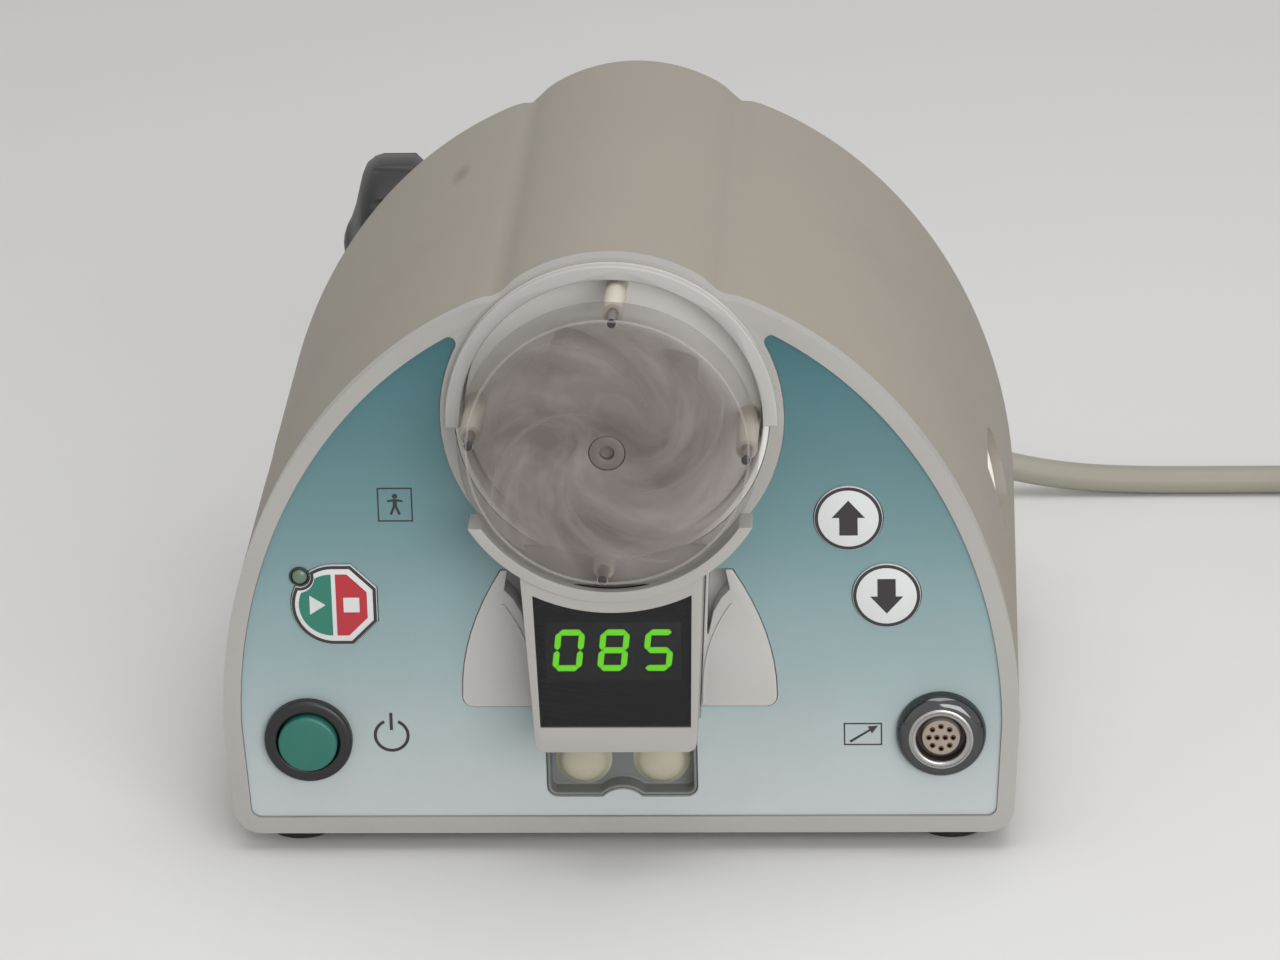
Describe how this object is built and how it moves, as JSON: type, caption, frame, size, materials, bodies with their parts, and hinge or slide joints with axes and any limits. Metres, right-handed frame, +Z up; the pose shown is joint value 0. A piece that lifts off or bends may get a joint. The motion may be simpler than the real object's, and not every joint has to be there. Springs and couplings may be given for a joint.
{
  "type": "roller pump",
  "caption": "Bench-top roller pump with a bell-shaped casing, clear rotor with free rollers, digit display, press keys, pole clamp and mains lead.",
  "frame": {"origin": "on the table under the middle of the pump, measured without its mains lead", "axes": "+Z up, front panel faces -Y, +X to the right seen from the front"},
  "size_m": [0.4832, 0.2985, 0.1835],
  "materials": {
    "casing": "fine grained",
    "bezel": "satin",
    "overlay": "satin film",
    "smoke": "polished",
    "clear": "polished",
    "frosted": "frosted",
    "ivory": "satin",
    "soft_ivory": "matt",
    "soft_grey": "matt",
    "steel": "brushed",
    "chrome": "polished",
    "alloy": "satin",
    "coated": "fine texture",
    "zinc": "satin",
    "bronze": "plain",
    "black": "satin",
    "foot_rubber": "matt",
    "board": "satin",
    "core": "varnished",
    "lit_green": "glowing",
    "key_red": "satin film",
    "key_white": "satin film",
    "button_green": "polished",
    "lamp": "polished",
    "lead": "satin",
    "nylon": "plain"
  },
  "bodies": {
    "housing": {"front_bezel": "bezel", "main_cover": "casing", "rear_panel": "coated", "base_plate": "zinc", "rubber_feet": "foot_rubber", "panel_overlay": "overlay", "tube_guides": "ivory", "display_hood": "bezel", "display_window": "smoke", "display_module": "black", "display_digits": "lit_green", "sensor_recess": "soft_grey", "sensor_pads": "soft_ivory", "pump_cup": "bezel", "front_bearing": "bronze", "rear_bearing": "bronze", "drive_motor": "coated", "gear_plate": "alloy", "standoffs": "alloy", "motor_screws": "steel", "key_boards": "board", "control_board": "board", "power_supply": "zinc", "transformer": "core", "switch_body": "black", "panel_nuts": "steel", "run_lamp": "lamp", "connector_shell": "chrome", "connector_insert": "black", "grip_cup_left": "ivory", "grip_cup_right": "ivory", "mains_inlet": "black", "clamp_bracket": "alloy", "clamp_bolts": "steel", "casing_screws": "steel", "cord_connector": "black", "mains_cord": "lead", "cord_coil": "lead", "cord_tail": "lead", "mains_plug": "black"},
    "rotor": {"rotor_disc": "clear", "rotor_hub": "frosted", "rotor_back_plate": "alloy", "roller_axles": "steel", "hub_screw": "steel", "rotor_shaft": "steel", "drive_gear": "nylon"},
    "roller_1": {"roller_1": "ivory"},
    "roller_2": {"roller_2": "ivory"},
    "roller_3": {"roller_3": "ivory"},
    "roller_4": {"roller_4": "ivory"},
    "pinion": {"motor_pinion": "steel"},
    "power_button": {"power_button": "button_green"},
    "run_stop_key": {"run_stop_key": "key_red"},
    "up_key": {"up_key": "key_white"},
    "down_key": {"down_key": "key_white"},
    "clamp_slider": {"clamp_pad": "black"},
    "clamp_screw": {"clamp_screw": "steel", "clamp_knob": "black"}
  },
  "joints": [
    {"name": "rotor_spin", "type": "hinge", "parent": "housing", "child": "rotor", "pos_m": [0, -0.1, 0.1355], "axis": [0, 1, 0], "continuous": true},
    {"name": "roller_1_spin", "type": "hinge", "parent": "rotor", "child": "roller_1", "pos_m": [0.03853, -0.107, 0.13321], "axis": [0, 1, 0], "continuous": true},
    {"name": "roller_2_spin", "type": "hinge", "parent": "rotor", "child": "roller_2", "pos_m": [0.00229, -0.107, 0.17403], "axis": [0, 1, 0], "continuous": true},
    {"name": "roller_3_spin", "type": "hinge", "parent": "rotor", "child": "roller_3", "pos_m": [-0.03853, -0.107, 0.13779], "axis": [0, 1, 0], "continuous": true},
    {"name": "roller_4_spin", "type": "hinge", "parent": "rotor", "child": "roller_4", "pos_m": [-0.00229, -0.107, 0.09697], "axis": [0, 1, 0], "continuous": true},
    {"name": "pinion_spin", "type": "hinge", "parent": "housing", "child": "pinion", "pos_m": [0, -0.066, 0.0959], "axis": [0, 1, 0], "continuous": true},
    {"name": "power_press", "type": "slide", "parent": "housing", "child": "power_button", "axis": [0, 1, 0], "range_m": [0, 0.003], "stiffness_N_per_m": 600},
    {"name": "run_stop_press", "type": "slide", "parent": "housing", "child": "run_stop_key", "axis": [0, 1, 0], "range_m": [0, 0.0008], "stiffness_N_per_m": 1500},
    {"name": "up_press", "type": "slide", "parent": "housing", "child": "up_key", "axis": [0, 1, 0], "range_m": [0, 0.0008], "stiffness_N_per_m": 1500},
    {"name": "down_press", "type": "slide", "parent": "housing", "child": "down_key", "axis": [0, 1, 0], "range_m": [0, 0.0008], "stiffness_N_per_m": 1500},
    {"name": "clamp_slide", "type": "slide", "parent": "housing", "child": "clamp_slider", "axis": [1, 0, 0], "range_m": [-0.009, 0.005]},
    {"name": "clamp_turn", "type": "hinge", "parent": "clamp_slider", "child": "clamp_screw", "pos_m": [-0.06, 0.1, 0.114], "axis": [1, 0, 0], "range_deg": [-1625, 905]}
  ],
  "couplings": [
    {"joint": "pinion_spin", "follows": "rotor_spin", "ratio": -3},
    {"joint": "clamp_turn", "follows": "clamp_slide", "rad_per_m": 3141.6}
  ]
}
